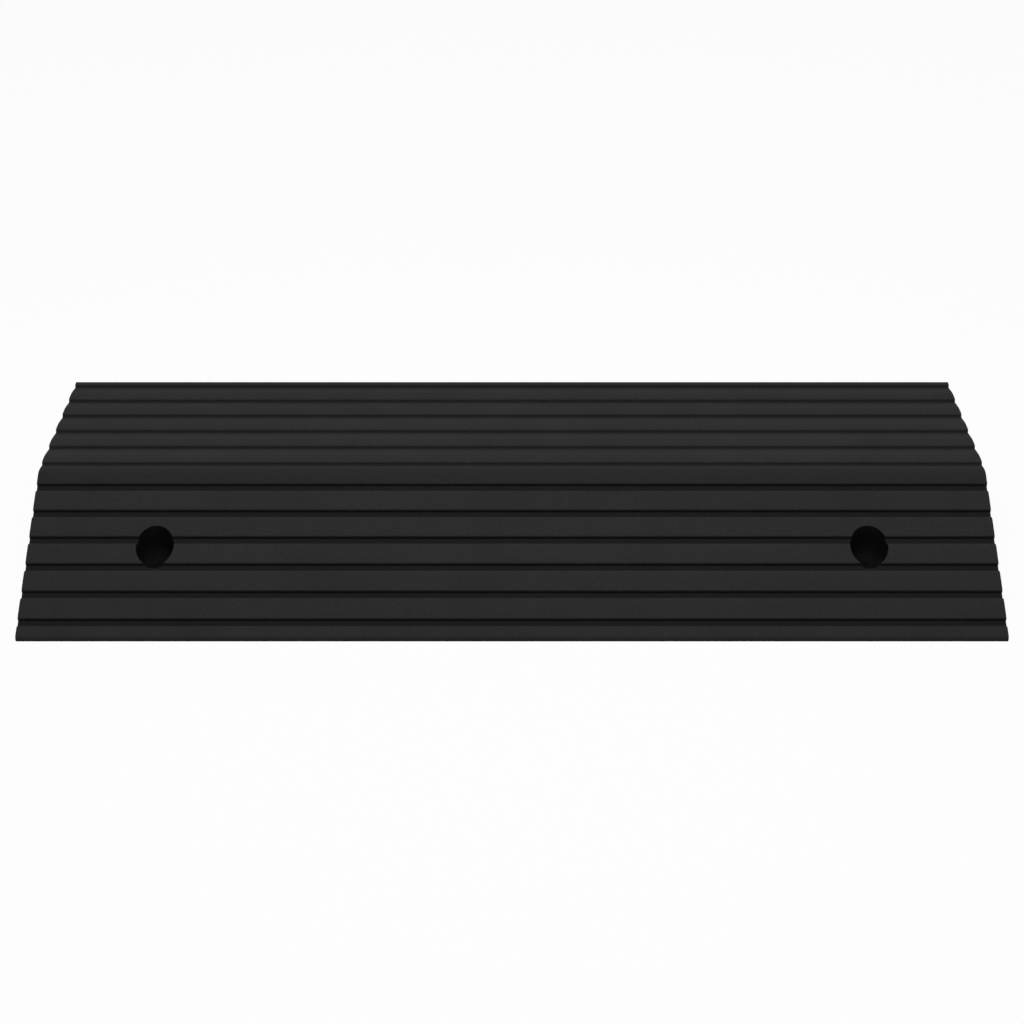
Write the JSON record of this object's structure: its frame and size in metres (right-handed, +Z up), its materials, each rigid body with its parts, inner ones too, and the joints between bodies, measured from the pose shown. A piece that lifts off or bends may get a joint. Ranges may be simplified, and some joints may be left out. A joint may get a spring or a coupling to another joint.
{
  "type": "threshold ramp",
  "caption": "Moulded black rubber ramp with a ribbed slope and a level top, bolted to the floor through counterbored holes, so that wheels can roll over a door threshold or kerb.",
  "frame": {"origin": "middle of the base, on the floor", "axes": "+X along the threshold, +Y from the toe to the tall back face, +Z up"},
  "size_m": [0.9, 0.3, 0.085],
  "materials": {
    "rubber": "matte moulded black rubber",
    "zinc_plated_steel": "bright zinc plate"
  },
  "bodies": {
    "root": {"ramp_body": "rubber", "fixing_washer_left": "zinc_plated_steel", "fixing_washer_right": "zinc_plated_steel"}
  },
  "joints": []
}
